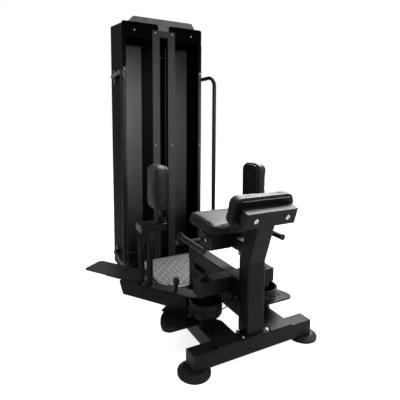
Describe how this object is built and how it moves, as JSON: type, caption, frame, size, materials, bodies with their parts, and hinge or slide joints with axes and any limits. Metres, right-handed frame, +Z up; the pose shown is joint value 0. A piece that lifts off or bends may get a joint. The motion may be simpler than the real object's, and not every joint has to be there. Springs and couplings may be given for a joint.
{
  "type": "hip adductor abductor machine",
  "caption": "Seated inner and outer thigh machine: swinging leg arms with knee pads and foot plates, range selectors, and a weight stack in a tall tower.",
  "frame": {"origin": "on the floor, in the middle of the whole machine", "axes": "+X to the seated user's right, +Y from the seat to the weight tower, +Z up"},
  "size_m": [1.3584, 1.5771, 1.951],
  "materials": {
    "frame_black": "semi-gloss black powder coat",
    "panel_black": "gloss black powder coat",
    "vinyl_black": "black synthetic leather",
    "rubber_black": "matte black rubber",
    "bolt_silver": "zinc plated",
    "tread_silver": "bright chequered plate",
    "cap_grey": "moulded dark grey",
    "plate_black": "painted black cast plate",
    "cable_black": "nylon sleeve over steel wire",
    "grip_black": "textured grip",
    "pulley_black": "moulded nylon"
  },
  "bodies": {
    "frame": {"rear_foot_bar": "frame_black", "rubber_feet": "rubber_black", "tube_caps": "rubber_black", "floor_rails": "frame_black", "front_crossbar": "frame_black", "base_plates": "frame_black", "front_leg": "frame_black", "lower_beam": "frame_black", "upper_beam": "frame_black", "pivot_crossbeams": "frame_black", "pivot_bearings": "frame_black", "seat_post": "frame_black", "leaning_post": "frame_black", "seat_branch": "frame_black", "seat_box": "frame_black", "seat_cushion": "vinyl_black", "lumbar_box": "frame_black", "back_cushion": "vinyl_black", "cushion_boards": "pulley_black", "handle_bar": "frame_black", "hand_grips": "grip_black", "tread_plate": "tread_silver", "tower_base": "frame_black", "tower_side_panels": "panel_black", "tower_back_panel": "panel_black", "tower_columns": "frame_black", "tower_headers": "frame_black", "tower_top_cap": "cap_grey", "side_guard_rails": "frame_black", "guide_rods": "bolt_silver", "stack_bumpers": "rubber_black", "weight_plates": "plate_black", "frame_bolts": "bolt_silver", "panel_screws": "bolt_silver", "pulley_axles": "bolt_silver", "cables": "cable_black"},
    "stack": {"lifted_plates": "plate_black", "selector_stem": "bolt_silver", "cable_drops": "cable_black"},
    "stack_pin": {"weight_pin": "bolt_silver"},
    "left_drum": {"drum_left": "frame_black"},
    "right_drum": {"drum_right": "frame_black"},
    "left_arm": {"arm_left": "frame_black", "arm_caps_left": "frame_black", "foot_plate_left": "frame_black"},
    "right_arm": {"arm_right": "frame_black", "arm_caps_right": "frame_black", "foot_plate_right": "frame_black"},
    "left_pull_pin": {"pull_pin_left": "grip_black"},
    "right_pull_pin": {"pull_pin_right": "grip_black"},
    "left_knee": {"knee_pad_left": "vinyl_black", "pad_frame_left": "frame_black"},
    "right_knee": {"knee_pad_right": "vinyl_black", "pad_frame_right": "frame_black"},
    "left_guide_pulley": {"guide_pulley_left": "pulley_black"},
    "right_guide_pulley": {"guide_pulley_right": "pulley_black"},
    "upper_leg_pulleys": {"leg_pulleys_upper": "pulley_black"},
    "lower_leg_pulleys": {"leg_pulleys_lower": "pulley_black"},
    "lower_tower_pulleys": {"tower_pulleys_lower": "pulley_black"},
    "upper_tower_pulleys": {"tower_pulleys_upper": "pulley_black"}
  },
  "joints": [
    {"name": "left_drum_turn", "type": "hinge", "parent": "frame", "child": "left_drum", "pos_m": [-0.183, -0.48786, 0.2], "axis": [0, 0, -1], "range_deg": [0, 36]},
    {"name": "right_drum_turn", "type": "hinge", "parent": "frame", "child": "right_drum", "pos_m": [0.183, -0.48786, 0.2], "axis": [0, 0, 1], "range_deg": [0, 36]},
    {"name": "left_range", "type": "hinge", "parent": "left_drum", "child": "left_arm", "pos_m": [-0.183, -0.48786, 0.2], "axis": [0, 0, 1], "range_deg": [0, 39]},
    {"name": "left_pull_pin_slide", "type": "slide", "parent": "left_arm", "child": "left_pull_pin", "axis": [0, 0, -1], "range_m": [0, 0.016]},
    {"name": "left_pad_swivel", "type": "hinge", "parent": "left_arm", "child": "left_knee", "pos_m": [-0.30999, -0.20986, 0.7], "axis": [0, 0, 1], "range_deg": [0, 180]},
    {"name": "right_range", "type": "hinge", "parent": "right_drum", "child": "right_arm", "pos_m": [0.183, -0.48786, 0.2], "axis": [0, 0, -1], "range_deg": [0, 39]},
    {"name": "right_pull_pin_slide", "type": "slide", "parent": "right_arm", "child": "right_pull_pin", "axis": [0, 0, -1], "range_m": [0, 0.016]},
    {"name": "right_pad_swivel", "type": "hinge", "parent": "right_arm", "child": "right_knee", "pos_m": [0.30999, -0.20986, 0.7], "axis": [0, 0, -1], "range_deg": [0, 180]},
    {"name": "stack_lift", "type": "slide", "parent": "frame", "child": "stack", "axis": [0, 0, 1], "range_m": [0, 0.0581], "deforming": ["cable_drops"]},
    {"name": "stack_pin_pull", "type": "slide", "parent": "stack", "child": "stack_pin", "axis": [0, -1, 0], "range_m": [0, 0.075]},
    {"name": "left_guide_spin", "type": "hinge", "parent": "frame", "child": "left_guide_pulley", "pos_m": [-0.038, -0.55986, 0.265], "axis": [0, 0, -1], "range_deg": [0, 117.7]},
    {"name": "right_guide_spin", "type": "hinge", "parent": "frame", "child": "right_guide_pulley", "pos_m": [0.038, -0.55986, 0.265], "axis": [0, 0, 1], "range_deg": [0, 117.7]},
    {"name": "upper_leg_spin", "type": "hinge", "parent": "frame", "child": "upper_leg_pulleys", "pos_m": [0, -0.06786, 0.24], "axis": [1, 0, 0], "range_deg": [0, 131.8]},
    {"name": "lower_leg_spin", "type": "hinge", "parent": "frame", "child": "lower_leg_pulleys", "pos_m": [0, -0.01786, 0.074], "axis": [-1, 0, 0], "range_deg": [0, 131.8]},
    {"name": "lower_tower_spin", "type": "hinge", "parent": "frame", "child": "lower_tower_pulleys", "pos_m": [0, 0.65614, 0.097], "axis": [-1, 0, 0], "range_deg": [0, 69.1]},
    {"name": "upper_tower_spin", "type": "hinge", "parent": "frame", "child": "upper_tower_pulleys", "pos_m": [0, 0.64614, 1.701], "axis": [-1, 0, 0], "range_deg": [0, 57.4]}
  ],
  "couplings": [
    {"joint": "right_drum_turn", "follows": "left_drum_turn", "ratio": 1},
    {"joint": "stack_lift", "follows": "left_drum_turn", "m_per_rad": 0.0908},
    {"joint": "left_guide_spin", "follows": "left_drum_turn", "ratio": 3.2429},
    {"joint": "right_guide_spin", "follows": "left_drum_turn", "ratio": 3.2429},
    {"joint": "upper_leg_spin", "follows": "left_drum_turn", "ratio": 3.632},
    {"joint": "lower_leg_spin", "follows": "left_drum_turn", "ratio": 3.632},
    {"joint": "lower_tower_spin", "follows": "left_drum_turn", "ratio": 1.8917},
    {"joint": "upper_tower_spin", "follows": "left_drum_turn", "ratio": 1.5655}
  ]
}
